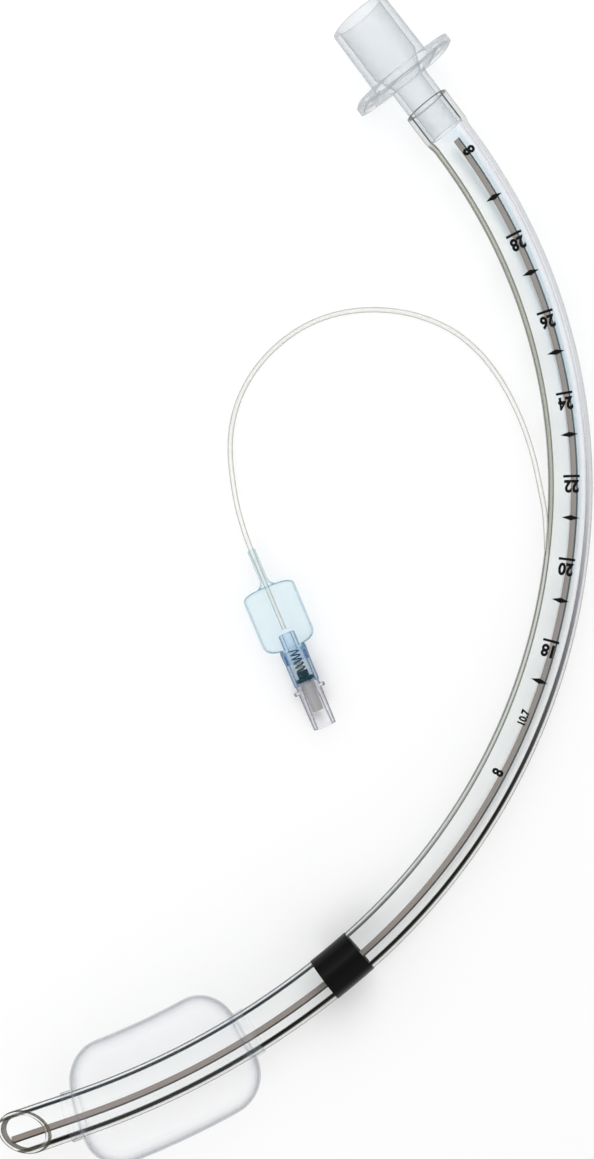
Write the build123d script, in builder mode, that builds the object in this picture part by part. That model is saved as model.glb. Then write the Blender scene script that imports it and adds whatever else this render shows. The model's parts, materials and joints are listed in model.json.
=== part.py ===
from build123d import *
from math import cos, degrees, radians, sin, sqrt, tan
import os

# Cuffed endotracheal tube, size 8.0, lying on its side with its cuff inflated.
# Millimetres. The tube group is drawn in the plane of the tube's own bend: the machine end
# of the tube is at the origin and the tube starts out along -Y. It is laid on the floor after that.

# Airway tube
bore_radius = 4.0
tube_radius = 5.35
bend_1_radius = 134.0
bend_1_turn = 40.5
bend_2_radius = 146.0
bend_2_turn = 46.2
bend_3_radius = 187.0
bend_3_turn = 24.2
tip_straight = 13.5
bevel_angle = 39.0
bevel_outer_round = 0.3
bevel_inner_chamfer = 0.5
flare_wall = 1.15
flare_taper = 2.5
flare_edge_round = 0.3

# Lines inside the tube's wall
lumen_radius = 0.35
port_station = 276.5
port_length = 2.4
port_width = 0.6
stripe_width = 1.7
stripe_thickness = 0.7
stripe_turn = 28.0
stripe_end_cover = 1.5

# Depth band and scale, printed in black
band_station = 231.2
band_length = 10.8
ink_thickness = 0.1
scale_zero_station = 317.8
scale_pitch = 10.0
bar_values = (28, 26, 24, 22, 20, 18)
diamond_values = (29, 27, 25, 23, 21, 19, 17)
bar_width = 3.9
bar_length = 0.6
diamond_width = 4.2
diamond_length = 1.3
scale_turn = 12.0

# Cuff
cuff_station = 280.8
cuff_radius = 14.4
cuff_barrel = 24.5
cuff_film = 0.3
collar_thickness = 0.4
collar_length = 2.6

# Airway connector
spigot_length = 8.0
spigot_radius = 4.6
neck_radius = 4.8
neck_length = 7.9
neck_round = 1.6
connector_bore_radius = 3.6
connector_bore_length = 14.4
funnel_length = 5.8
flange_thickness = 1.8
flange_length = 26.4
flange_half_height = 8.3
flange_corner = 6.0
cone_length = 16.7
cone_root_radius = 7.76
cone_taper = 1 / 40
cone_wall = 1.5
cone_edge_round = 0.5
ear_hole_radius = 0.9
ear_hole_offset = 10.4
ear_rim = 1.0
ear_recess_depth = 0.6
rib_width = 4.6
rib_gap = 4.0
rib_height = 0.4

# Inflation line
line_radius = 0.63
line_seat_station = 116.0
line_leave_station = 108.0
line_seat_depth = 0.45
line_leave_height = 0.35
surface_clearance = 0.05

# Pilot balloon, check valve and syringe socket, along their own axis from the balloon's neck
pilot_turn = -105.3
pilot_neck_x = -98.8
pilot_neck_y = -57.9
sleeve_radius = 1.0
sleeve_length = 8.6
line_insertion = 2.0
line_approach = 7.0
balloon_length = 17.0
balloon_half_width = 6.6
balloon_half_height = 2.7
balloon_film = 0.3
balloon_neck_radius = 0.8
balloon_mouth_radius = 3.2
balloon_grip = 1.2
neck_flare = 2.2
neck_flare_width = 2.9
upper_shoulder = 1.6
lower_shoulder = 2.6
dip_tube_radius = 0.55
dip_tube_bore = 0.3
dip_tube_reach = 12.3

stub_length = 3.7
stub_radius = 2.05
stub_bore = 1.2
stub_round = 0.35
cap_length = 3.8
cap_radius = 3.35
cap_end_wall = 0.6
body_length = 5.6
body_radius = 3.2
chamber_radius = 2.5
lap_depth = 2.4
lap_wall = 0.32
seat_length = 0.6
socket_neck_length = 1.2
lock_flange_radius = 4.0
lock_flange_thickness = 0.8
lock_rim_radius = 3.3
lock_lug_width = 4.4
socket_length = 9.3
socket_root_radius = 2.98
socket_tip_radius = 2.85
luer_mouth_radius = 2.15
luer_taper = 0.06
luer_depth = 8.2
stem_bore = 1.75

seal_radius = 2.3
seal_disc = 0.8
seal_boss_radius = 1.4
seal_boss_height = 1.7
seal_gap = 0.05
stem_radius = 1.4
stem_length = 7.8
pin_radius = 0.7
pin_height = 2.9
spring_radius = 1.15
spring_wire = 0.18
spring_turns = 5

os.makedirs("parts", exist_ok=True)

# Sizes worked out from the ones above
wall_middle = (bore_radius + tube_radius) / 2
flare_radius = spigot_radius + flare_wall
flare_end = spigot_length + flare_taper
tube_length = flare_end + tip_straight
stretches = [(flare_end, None)]
for bend_radius, bend_turn in (
    (bend_1_radius, bend_1_turn),
    (bend_2_radius, bend_2_turn),
    (bend_3_radius, bend_3_turn),
):
    stretches.append((bend_radius * radians(bend_turn), bend_radius))
    tube_length += bend_radius * radians(bend_turn)
bevel_reach = tube_radius / tan(radians(bevel_angle))
blank_length = tube_length + bevel_reach + tube_radius
stretches.append((blank_length, None))


def station(distance):
    """Plane across the tube: x to the inner side of the bend, y down, z on towards the tip."""
    here = Plane(origin=(0, 0, 0), x_dir=(-1, 0, 0), z_dir=(0, -1, 0))
    left = distance
    for length, radius in stretches:
        step = min(left, length)
        left -= step
        if radius is None:
            here = here.offset(step)
        else:
            turned = here.rotated((0, 0, -degrees(step / radius)))
            turned.origin = here.origin + (here.x_dir - turned.x_dir) * radius
            here = turned
    return here


def centreline(start, end):
    """The stretch of the tube's centreline between two distances from its machine end."""
    passed = 0
    with BuildLine() as path:
        for length, radius in stretches:
            first = max(start, passed)
            last = min(end, passed + length)
            passed += length
            if last - first < 1e-6:
                continue
            here = station(first)
            if radius is None:
                Line(here.origin, station(last).origin)
            else:
                JernArc(here.origin, here.z_dir, radius, -degrees((last - first) / radius))
    return path.wire()


# Where the tube rests: the cuff's barrel, the flange's long side and the outside of the bend
cuff_rest = station(cuff_station - cuff_barrel / 2).origin
flange_rest = Vector(0, neck_length, 0)
cuff_rise = cuff_radius - tube_radius
flange_rise = flange_half_height + rib_height - tube_radius
slope_x = -1
slope_y = 1
for attempt in range(4):
    # the lowest point of the bend moves with the slope, and the slope with that point
    lean_station = min(
        range(0, round(tube_length), 2),
        key=lambda distance: Vector(slope_x, slope_y).dot(station(distance).origin),
    )
    lean_rest = station(lean_station).origin
    to_cuff = cuff_rest - lean_rest
    to_flange = flange_rest - lean_rest
    spread = to_cuff.X * to_flange.Y - to_cuff.Y * to_flange.X
    slope_x = (cuff_rise * to_flange.Y - flange_rise * to_cuff.Y) / spread
    slope_y = (to_cuff.X * flange_rise - to_flange.X * cuff_rise) / spread
upright = Vector(slope_x, slope_y, sqrt(1 - slope_x**2 - slope_y**2))
end_height = tube_radius - slope_x * lean_rest.X - slope_y * lean_rest.Y
floor = Plane(
    origin=upright * -end_height,
    x_dir=Vector(0, 1, 0).cross(upright),
    z_dir=upright,
)
lay_down = floor.location.inverse()

# Airway tube: one extrusion with its bore, stretched over the spigot and cut to a bevel
tip_here = station(tube_length)
bevel_plane = Plane(
    origin=tip_here.origin,
    x_dir=tip_here.x_dir,
    z_dir=tip_here.z_dir * sin(radians(bevel_angle)) + Vector(0, 0, 1) * cos(radians(bevel_angle)),
)
stripe_drop = wall_middle * cos(radians(stripe_turn))
stripe_end = tube_length + stripe_drop / tan(radians(bevel_angle)) - stripe_end_cover
line_seat = station(line_seat_station).from_local_coords(
    Vector(tube_radius - line_seat_depth, 0, 0)
)
line_leave = station(line_leave_station).from_local_coords(
    Vector(tube_radius + line_leave_height, 0, 0)
)

with BuildPart() as tube_body:
    with BuildSketch(station(flare_end)):
        Circle(tube_radius)
        Circle(bore_radius, mode=Mode.SUBTRACT)
    sweep(path=centreline(flare_end, blank_length))
    with BuildSketch(Plane.XY):
        with BuildLine():
            Polyline(
                (spigot_radius, 0),
                (flare_radius, 0),
                (flare_radius, -spigot_length),
                (tube_radius, -flare_end),
                (bore_radius, -flare_end),
                (spigot_radius, -spigot_length),
                close=True,
            )
        make_face()
    revolve(axis=Axis.Y)
    mouth_edges = tube_body.edges().filter_by(GeomType.CIRCLE).sort_by(Axis.Y)[-2:]
    fillet(mouth_edges.sort_by(SortBy.RADIUS)[-1], radius=flare_edge_round)
    split(bisect_by=bevel_plane, keep=Keep.BOTTOM)
    bevel_face = tube_body.faces().filter_by(bevel_plane)[0]
    bevel_outer = bevel_face.outer_wire().edges()
    bevel_inner = bevel_face.inner_wires()[0].edges()
    chamfer(bevel_inner, length=bevel_inner_chamfer)
    fillet(bevel_outer, radius=bevel_outer_round)
    # slot of the opaque stripe, along the underside of the wall
    with BuildSketch(station(flare_end)):
        with PolarLocations(wall_middle, 1, start_angle=90 + stripe_turn):
            SlotOverall(stripe_width, stripe_thickness, rotation=90)
    sweep(path=centreline(flare_end, stripe_end), mode=Mode.SUBTRACT)
    # inflation lumen, from the line's seat to the port under the cuff
    with BuildSketch(station(line_seat_station)):
        with Locations((wall_middle, 0)):
            Circle(lumen_radius)
    sweep(path=centreline(line_seat_station, port_station + port_length / 2), mode=Mode.SUBTRACT)
    port_here = station(port_station)
    port_plane = Plane(origin=port_here.origin, x_dir=port_here.z_dir, z_dir=port_here.x_dir)
    with BuildSketch(port_plane.offset(wall_middle)):
        SlotOverall(port_length, port_width)
    extrude(amount=tube_radius, mode=Mode.SUBTRACT)
    # seat of the inflation line, skived along the outside of the wall
    with BuildSketch(Plane(origin=line_seat, z_dir=line_leave - line_seat)):
        Circle(line_radius)
    extrude(amount=(line_leave - line_seat).length, mode=Mode.SUBTRACT)

with BuildPart() as xray_line:
    with BuildSketch(station(flare_end)):
        with PolarLocations(wall_middle, 1, start_angle=90 + stripe_turn):
            SlotOverall(stripe_width, stripe_thickness, rotation=90)
    sweep(path=centreline(flare_end, stripe_end))

# Print: the black band, and the bars and diamonds of the depth scale on the upper side
with BuildPart() as depth_band:
    band_start = band_station - band_length / 2
    with BuildSketch(station(band_start)):
        Circle(tube_radius + ink_thickness)
        Circle(tube_radius, mode=Mode.SUBTRACT)
    sweep(path=centreline(band_start, band_start + band_length))

with BuildPart() as depth_marks:
    for value in bar_values + diamond_values:
        here = station(scale_zero_station - scale_pitch * value)
        facing = here.x_dir * sin(radians(scale_turn)) - here.y_dir * cos(radians(scale_turn))
        with BuildSketch(Plane(origin=here.origin, x_dir=facing.cross(here.z_dir), z_dir=facing)):
            if value in bar_values:
                Rectangle(bar_width, bar_length)
            else:
                Polygon(
                    (-diamond_width / 2, 0),
                    (0, -diamond_length / 2),
                    (diamond_width / 2, 0),
                    (0, diamond_length / 2),
                )
    extrude(amount=2 * tube_radius)
    scale_start = scale_zero_station - scale_pitch * max(diamond_values) - diamond_length
    scale_end = scale_zero_station - scale_pitch * min(diamond_values) + diamond_length
    with BuildSketch(station(scale_start)):
        Circle(tube_radius + ink_thickness)
        Circle(tube_radius, mode=Mode.SUBTRACT)
    sweep(path=centreline(scale_start, scale_end), mode=Mode.INTERSECT)

# Cuff: a thin film with two collars welded to the tube
barrel_start = cuff_station - cuff_barrel / 2
barrel_end = cuff_station + cuff_barrel / 2
cuff_shoulder = cuff_radius - tube_radius
weld_lap = collar_length / 2

with BuildPart() as cuff:
    with BuildSketch(station(barrel_start)):
        Circle(cuff_radius)
        Circle(cuff_radius - cuff_film, mode=Mode.SUBTRACT)
    sweep(path=centreline(barrel_start, barrel_end))
    for here, outward in (
        (station(barrel_start), station(barrel_start).z_dir * -1),
        (station(barrel_end), station(barrel_end).z_dir),
    ):
        section = Plane(origin=here.origin, x_dir=outward, z_dir=(0, 0, 1))
        with BuildSketch(section):
            with BuildLine():
                foot = (0, tube_radius)
                outer = CenterArc(foot, cuff_shoulder, start_angle=0, arc_size=90)
                inner = CenterArc(foot, cuff_shoulder - cuff_film, start_angle=0, arc_size=90)
                Line(outer @ 0, inner @ 0)
                Line(outer @ 1, inner @ 1)
            make_face()
        revolve(axis=Axis(here.origin, outward))
    for first in (
        barrel_start - cuff_shoulder - collar_length,
        barrel_end + cuff_shoulder - weld_lap,
    ):
        with BuildSketch(station(first)):
            Circle(tube_radius + collar_thickness)
        sweep(path=centreline(first, first + collar_length + weld_lap))
    cut_start = barrel_start - cuff_shoulder - 2 * collar_length
    cut_end = barrel_end + cuff_shoulder + 2 * collar_length
    with BuildSketch(station(cut_start)):
        Circle(tube_radius)
    sweep(path=centreline(cut_start, cut_end), mode=Mode.SUBTRACT)

# Airway connector: spigot, neck, oblong flange with two ears and the 15 mm cone
cone_start = neck_length + flange_thickness
cone_end = cone_start + cone_length
cone_tip_radius = cone_root_radius - cone_length * cone_taper / 2
bore_top = connector_bore_length - spigot_length

with BuildPart() as airway_connector:
    with BuildSketch(Plane.XY):
        with BuildLine():
            Polyline(
                (neck_radius + neck_round, neck_length),
                (cone_root_radius, neck_length),
                (cone_root_radius, cone_start),
                (cone_tip_radius, cone_end),
                (cone_tip_radius - cone_wall, cone_end),
                (cone_tip_radius - cone_wall, bore_top + funnel_length),
                (connector_bore_radius, bore_top),
                (connector_bore_radius, -spigot_length),
                (spigot_radius, -spigot_length),
                (spigot_radius, 0),
                (neck_radius, 0),
                (neck_radius, neck_length - neck_round),
            )
            neck_corner = (neck_radius + neck_round, neck_length - neck_round)
            CenterArc(neck_corner, neck_round, start_angle=90, arc_size=90)
        make_face()
    revolve(axis=Axis.Y)
    flange_plane = Plane(origin=flange_rest, x_dir=floor.x_dir, z_dir=(0, 1, 0))
    with BuildSketch(flange_plane):
        RectangleRounded(flange_length, 2 * flange_half_height, flange_corner)
        with GridLocations(rib_width + rib_gap, 2 * flange_half_height, 2, 2):
            Rectangle(rib_width, 2 * rib_height)
        Circle(neck_radius, mode=Mode.SUBTRACT)
    extrude(amount=flange_thickness)
    with BuildSketch(flange_plane):
        RectangleRounded(
            flange_length - 2 * ear_rim,
            2 * (flange_half_height - ear_rim),
            flange_corner - ear_rim,
        )
        Rectangle(2 * (cone_root_radius + ear_rim / 2), 4 * flange_half_height, mode=Mode.SUBTRACT)
    extrude(amount=ear_recess_depth, mode=Mode.SUBTRACT)
    with BuildSketch(flange_plane):
        with GridLocations(2 * ear_hole_offset, 1, 2, 1):
            Circle(ear_hole_radius)
    extrude(amount=flange_thickness, mode=Mode.SUBTRACT)
    rings = airway_connector.edges().filter_by(GeomType.CIRCLE).sort_by(Axis.Y)
    fillet(rings[-2:], radius=cone_edge_round)

# Pilot assembly: its own axis runs from the balloon's neck to the mouth of the syringe socket
cap_top = sleeve_length + balloon_length
cap_bottom = cap_top + cap_length
body_bottom = cap_bottom + body_length
lock_top = body_bottom + socket_neck_length
lock_bottom = lock_top + lock_flange_thickness
socket_end = lock_bottom + socket_length
pilot_lift = (lock_rim_radius - cap_radius) / (lock_top - cap_top)
neck_height = cap_radius - cap_top * pilot_lift + surface_clearance
pilot_axis = Vector(
    cos(radians(pilot_turn)) * sqrt(1 - pilot_lift**2),
    sin(radians(pilot_turn)) * sqrt(1 - pilot_lift**2),
    pilot_lift,
)
pilot_neck = Vector(pilot_neck_x, pilot_neck_y, neck_height)
pilot_side = Vector(-sin(radians(pilot_turn)), cos(radians(pilot_turn)), 0)
pilot = Plane(origin=pilot_neck, x_dir=pilot_side, z_dir=pilot_axis)
pilot_section = Plane(origin=pilot_neck, x_dir=pilot_side, z_dir=pilot_side.cross(pilot_axis))
pilot_line = Axis(pilot_neck, pilot_axis)


def turned_on_pilot(*outline):
    """Revolve an outline of (radius, distance along the axis) points about the pilot's axis."""
    with BuildSketch(pilot_section) as section:
        with BuildLine():
            Polyline(*outline, close=True)
        make_face()
    revolve(section.sketch.faces(), axis=pilot_line)


def balloon_sections(skin):
    """Distance, half width and half height of the ellipses across the balloon, neck to mouth."""
    wide = balloon_half_width - skin
    high = balloon_half_height - skin
    neck = balloon_neck_radius - skin
    mouth = balloon_mouth_radius - skin
    flare_wide = neck_flare_width - skin
    flare_high = neck + (high - neck) / 3
    flare_start = sleeve_length - neck_flare / 2 + skin
    flare_end = flare_start + neck_flare
    steps = 3
    quarter = [radians(90 * step / steps) for step in range(steps + 1)]
    # the sleeve flares out, then the shoulder turns into the side
    for angle in quarter:
        grown = 1 - cos(angle)
        at = flare_start + neck_flare * sin(angle)
        yield at, neck + (flare_wide - neck) * grown, neck + (flare_high - neck) * grown
    for angle in quarter[1:]:
        grown = sin(angle)
        at = flare_end + upper_shoulder * (1 - cos(angle))
        yield at, flare_wide + (wide - flare_wide) * grown, flare_high + (high - flare_high) * grown
    # the lower shoulder closes in on the cap
    for angle in quarter:
        left = cos(angle)
        at = cap_top - skin - (lower_shoulder - skin) * (1 - sin(angle))
        yield at, mouth + (wide - mouth) * left, mouth + (high - mouth) * left


def balloon_form(skin, mode=Mode.ADD):
    """The balloon's closed form, drawn in by the skin's thickness."""
    sections = []
    for at, wide, high in balloon_sections(skin):
        with BuildSketch(pilot.offset(at)) as section:
            if wide - high > skin / 100:
                Ellipse(wide, high)
            else:
                Circle(high)
        sections.append(section.sketch.face())
    loft(sections, ruled=True, mode=mode)


with BuildPart() as pilot_balloon:
    balloon_form(0)
    with BuildSketch(pilot):
        Circle(sleeve_radius)
    extrude(amount=sleeve_length + balloon_film)
    balloon_form(balloon_film, Mode.SUBTRACT)
    with BuildSketch(pilot):
        Circle(line_radius)
    extrude(amount=line_insertion, mode=Mode.SUBTRACT)
    with BuildSketch(pilot):
        Circle(dip_tube_radius)
    extrude(amount=sleeve_length + 2 * balloon_film, mode=Mode.SUBTRACT)
    with BuildSketch(pilot.offset(cap_top - 2 * balloon_film)):
        Circle(cap_radius - 2 * balloon_film)
    extrude(amount=3 * balloon_film, mode=Mode.SUBTRACT)
    with BuildSketch(pilot.offset(cap_top - balloon_film)):
        Circle(cap_radius)
        Circle(cap_radius - balloon_film, mode=Mode.SUBTRACT)
    extrude(amount=balloon_film + balloon_grip)

with BuildPart() as dip_tube:
    with BuildSketch(pilot.offset(line_insertion)):
        Circle(dip_tube_radius)
        Circle(dip_tube_bore, mode=Mode.SUBTRACT)
    extrude(amount=sleeve_length - line_insertion + dip_tube_reach)

# Check valve: cap with its inlet stub, clear body, and the syringe socket that closes it
with BuildPart() as valve_cap:
    turned_on_pilot(
        (stub_bore, cap_top - stub_length),
        (stub_radius, cap_top - stub_length),
        (stub_radius, cap_top),
        (cap_radius - balloon_film, cap_top),
        (cap_radius - balloon_film, cap_top + balloon_grip),
        (cap_radius, cap_top + balloon_grip),
        (body_radius, cap_bottom),
        (chamber_radius + lap_wall, cap_bottom),
        (chamber_radius + lap_wall, cap_bottom - lap_depth),
        (chamber_radius, cap_bottom - lap_depth),
        (chamber_radius, cap_top + cap_end_wall),
        (stub_bore, cap_top + cap_end_wall),
    )
    stub_mouth = valve_cap.faces().sort_by(pilot_line)[0].outer_wire().edges()
    fillet(stub_mouth, radius=stub_round)

with BuildPart() as valve_body:
    turned_on_pilot(
        (chamber_radius, cap_bottom - lap_depth),
        (chamber_radius + lap_wall, cap_bottom - lap_depth),
        (chamber_radius + lap_wall, cap_bottom),
        (body_radius, cap_bottom),
        (body_radius, body_bottom),
        (chamber_radius, body_bottom),
    )

luer_floor = socket_end - luer_depth
with BuildPart() as syringe_socket:
    turned_on_pilot(
        (stem_bore, body_bottom - seat_length),
        (chamber_radius, body_bottom - seat_length),
        (chamber_radius, body_bottom),
        (socket_root_radius, body_bottom),
        (socket_root_radius, lock_top),
        (lock_rim_radius, lock_top),
        (lock_rim_radius, lock_bottom),
        (socket_root_radius, lock_bottom),
        (socket_tip_radius, socket_end),
        (luer_mouth_radius, socket_end),
        (luer_mouth_radius - luer_depth * luer_taper / 2, luer_floor),
        (stem_bore, luer_floor),
    )
    with BuildSketch(pilot.offset(lock_top)):
        Circle(lock_flange_radius)
        Rectangle(2 * lock_flange_radius, lock_lug_width, mode=Mode.INTERSECT)
        Circle((chamber_radius + lock_rim_radius) / 2, mode=Mode.SUBTRACT)
    extrude(amount=lock_flange_thickness)

# Valve plunger: a rubber seal on a grey stem, pressed on its seat by a coil spring
seal_face = body_bottom - seat_length - seal_gap
seal_top = seal_face - seal_disc
boss_top = seal_top - seal_boss_height
with BuildPart() as valve_seal:
    turned_on_pilot(
        (pin_radius, boss_top),
        (seal_boss_radius, boss_top),
        (seal_boss_radius, seal_top),
        (seal_radius, seal_top),
        (seal_radius, seal_face),
        (pin_radius, seal_face),
    )

with BuildPart() as valve_stem:
    turned_on_pilot(
        (0, boss_top - pin_height),
        (pin_radius, boss_top - pin_height),
        (pin_radius, seal_face),
        (stem_radius, seal_face),
        (stem_radius, seal_face + stem_length),
        (0, seal_face + stem_length),
    )

spring_top = cap_top + cap_end_wall + spring_wire
spring_length = boss_top - spring_wire - spring_top
with BuildPart() as valve_spring:
    with BuildLine() as coil:
        Helix(
            spring_length / spring_turns,
            spring_length,
            spring_radius,
            center=pilot.offset(spring_top).origin,
            direction=pilot_axis,
        )
    with BuildSketch(Plane(origin=coil.line @ 0, z_dir=coil.line % 0)):
        RegularPolygon(spring_wire, 6)
    sweep(path=coil.line, is_frenet=True)

# Inflation line, from its seat in the tube's wall along the surface to the balloon's sleeve.
# The points between the two ends are the route on the surface, chosen by hand.
line_height = line_radius + surface_clearance
line_start = floor.to_local_coords(line_seat)
line_out = floor.to_local_coords(line_leave)
line_end = pilot.from_local_coords(Vector(0, 0, line_insertion))
line_aim = pilot.from_local_coords(Vector(0, 0, -line_approach))
route = [
    line_start,
    line_out,
    Vector(-34.4, -88.9, 5.2),
    Vector(-30.4, -81.2, 3.8),
    Vector(-27.2, -72.6, 2.2),
    Vector(-25.2, -63.4, 1.1),
    Vector(-24.9, -54.2, line_height),
    Vector(-27.0, -45.2, line_height),
    Vector(-31.9, -36.8, line_height),
    Vector(-38.7, -30.0, line_height),
    Vector(-46.4, -25.2, line_height),
    Vector(-54.3, -22.7, line_height),
    Vector(-62.4, -22.2, line_height),
    Vector(-70.4, -23.4, line_height),
    Vector(-78.1, -26.5, line_height),
    Vector(-85.0, -31.8, line_height + 0.2),
    Vector(-90.4, -38.9, line_height + 0.9),
    line_aim,
    line_end,
]
runs = [after - before for before, after in zip(route, route[1:])]
line_bends = []
for before, after in zip(runs, runs[1:]):
    half_turn = radians(before.get_angle(after) / 2)
    line_bends.append(0.45 * min(before.length, after.length) / tan(half_turn))
print("inflation line bend radii", [round(radius, 1) for radius in line_bends])

with BuildPart() as inflation_line:
    with BuildLine() as line_path:
        FilletPolyline(*route, radius=line_bends)
    with BuildSketch(Plane(origin=line_path.line @ 0, z_dir=line_path.line % 0)):
        Circle(line_radius)
    sweep(path=line_path.wire())
print("inflation line length", line_path.wire().length)

# Lay the tube group down, centre everything over the origin, and write the files
tube_group = {
    "tube_body": tube_body,
    "xray_line": xray_line,
    "depth_band": depth_band,
    "depth_marks": depth_marks,
    "cuff": cuff,
    "airway_connector": airway_connector,
}
line_group = {
    "inflation_line": inflation_line,
    "pilot_balloon": pilot_balloon,
    "dip_tube": dip_tube,
    "valve_cap": valve_cap,
    "valve_body": valve_body,
    "valve_spring": valve_spring,
    "valve_seal": valve_seal,
    "valve_stem": valve_stem,
    "syringe_socket": syringe_socket,
}
laid = Compound(children=[piece.part.moved(lay_down) for piece in tube_group.values()])
reach = laid.bounding_box()
centring = Location((-reach.center().X, -reach.center().Y, -reach.min.Z))

for name, piece in tube_group.items():
    solid = piece.part.moved(centring * lay_down)
    solid.label = name
    export_step(solid, f"parts/{name}.step")
for name, piece in line_group.items():
    solid = piece.part.moved(centring)
    solid.label = name
    export_step(solid, f"parts/{name}.step")

# Figures for the record
print("bounding box", reach.size, "lean station", lean_station)
print("centring", centring.position)
to_room = centring * lay_down
for name, here in (
    ("connector mouth", Plane(origin=(0, cone_end, 0), x_dir=(1, 0, 0), z_dir=(0, 1, 0))),
    ("tip", station(tube_length)),
):
    placed = Plane(to_room * here.location)
    print(name, placed.origin, placed.z_dir)
placed = Plane(centring * pilot.location)
print("pilot neck", placed.origin, placed.z_dir, "socket mouth at", socket_end)
print("socket mouth", placed.origin + placed.z_dir * socket_end)
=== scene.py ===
import json
from math import cos, pi, radians, sin, sqrt, tan
import bpy
import numpy as np
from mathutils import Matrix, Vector


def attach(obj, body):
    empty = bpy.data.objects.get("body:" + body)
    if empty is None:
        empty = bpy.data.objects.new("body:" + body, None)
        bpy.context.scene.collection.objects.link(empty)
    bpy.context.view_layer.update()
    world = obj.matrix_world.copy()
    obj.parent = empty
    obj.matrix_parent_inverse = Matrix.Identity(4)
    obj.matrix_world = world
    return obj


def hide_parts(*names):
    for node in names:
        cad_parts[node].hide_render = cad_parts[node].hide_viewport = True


# Looks of a cuffed endotracheal tube, size 8.0, that lies on a pale floor with its cuff inflated.
# Sizes are in millimetres and angles in degrees; MM turns sizes into the frame's metres.

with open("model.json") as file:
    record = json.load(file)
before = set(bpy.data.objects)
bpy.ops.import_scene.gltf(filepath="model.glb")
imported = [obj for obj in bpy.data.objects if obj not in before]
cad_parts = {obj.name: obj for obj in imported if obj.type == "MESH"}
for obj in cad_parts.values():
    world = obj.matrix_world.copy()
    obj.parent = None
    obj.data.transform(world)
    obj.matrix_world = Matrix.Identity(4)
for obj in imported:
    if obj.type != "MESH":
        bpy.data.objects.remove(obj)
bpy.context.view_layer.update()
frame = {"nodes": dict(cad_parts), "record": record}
MM = 0.001
ROOT = "tube_assembly"

# Airway tube. Distances along it are counted from its machine end.
BORE_RADIUS = 4.0
TUBE_RADIUS = 5.35
FLARE_RADIUS = 5.75
SPIGOT_RADIUS = 4.6
SPIGOT_LENGTH = 8.0
FLARE_END = 10.5
FLARE_LEAD = 0.6
BENDS = ((134.0, 40.5), (146.0, 46.2), (187.0, 24.2))
TIP_STRAIGHT = 13.5
RUN_ON = 10 * TIP_STRAIGHT
BEVEL_ANGLE = 39.0
BEVEL_LEAD = 1.0
BEVEL_OUTER_ROUND = 0.3
BEVEL_INNER_CHAMFER = 0.5
SURFACE_GAP = 0.02
LUMEN_RADIUS = 0.35
LUMEN_SIDES = 12
STRIPE_WIDTH = 1.7
STRIPE_THICKNESS = 0.7
STRIPE_TURN = 28.0
STRIPE_END_COVER = 1.5
STRIPE_STEP = 1.5
STRIPE_ROUND_POINTS = 7
LINE_SEAT_STATION = 116.0
PORT_STATION = 276.5
PORT_LENGTH = 2.4
WALL_MIDDLE = (BORE_RADIUS + TUBE_RADIUS) / 2
TUBE_LENGTH = FLARE_END + TIP_STRAIGHT + sum(radius * radians(turn) for radius, turn in BENDS)
BEVEL_START = TUBE_LENGTH - TUBE_RADIUS / tan(radians(BEVEL_ANGLE)) - BEVEL_LEAD

# How finely the tube is drawn
TUBE_SIDES = 96
FLARE_STEP = 0.4
BEND_STEP = 2.0
BEVEL_COURSES = 9
ROUND_COURSES = 5

# Where the tube's painted shade changes: (start, end) along each side of the bend, and over the spigot
INNER_LOOK = (150.0, 260.0)
OUTER_LOOK = (60.0, 180.0)
GRIP_LEAD = 0.3
GRIP_FADE = 0.8

# Printed scale
INK_LIFT = 0.04
INK_THICKNESS = 0.04
SCALE_ZERO = 317.8
SCALE_PITCH = 10.0
SCALE_TURN = 12.0
SCALE_FIGURES = (28, 26, 24, 22, 20, 18)
DIGIT_HEIGHT = 2.9
DIGIT_DROP = 2.3
DIGIT_NARROW = 0.86
DIGIT_BOLD = 0.06
CAPITAL_SHARE = 0.72

# Printed sizes: name, figures, height, distance from the machine end, shift towards the inner side
SIZE_FIGURES = (
    ("size_top", "8", 2.9, 15.3, -1.2),
    ("size_inner", "8", 2.6, 171.8, 0.4),
    ("size_outer", "10.7", 1.9, 157.4, 0.4),
)
SIZE_TURN = -90

# Cuff
CUFF_STATION = 280.8
CUFF_RADIUS = 14.4
CUFF_BARREL = 24.5
CUFF_SHOULDER = 9.05
CUFF_FILM = 0.3
CUFF_SIDES = 96
CUFF_STEPS = 16
BARREL_COURSES = 13
COLLAR_THICKNESS = 0.4
COLLAR_LENGTH = 2.6
COLLAR_CLEAR = 0.2

# Pilot balloon, along its own axis from the sleeve's end
SLEEVE_RADIUS = 1.0
SLEEVE_LENGTH = 8.6
SLEEVE_TAPER = 0.25
SLEEVE_TAPER_LENGTH = 0.15
SLEEVE_CLEAR = 1.0
NECK_FLARE = 2.2
NECK_FLARE_WIDE = 2.9
UPPER_SHOULDER = 1.6
LOWER_SHOULDER = 2.6
BALLOON_WIDE = 6.6
BALLOON_HIGH = 2.7
BALLOON_MOUTH = 3.25
BALLOON_END = 25.6
BALLOON_GRIP = 1.2
BALLOON_GRIP_SPREAD = 0.1
BALLOON_FILM = 0.3
BALLOON_SIDES = 72
BALLOON_STEPS = 10
SOCKET_END = 46.3

# Inflation line, from its seat in the tube's wall to the balloon's sleeve
LINE_RADIUS = 0.63
LINE_SEAT_RADIUS = 4.9
LINE_LEAVE_STATION = 108.0
LINE_LEAVE_RADIUS = 5.7
LINE_APPROACH = 7.0
LINE_INSERTION = 2.0

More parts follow.
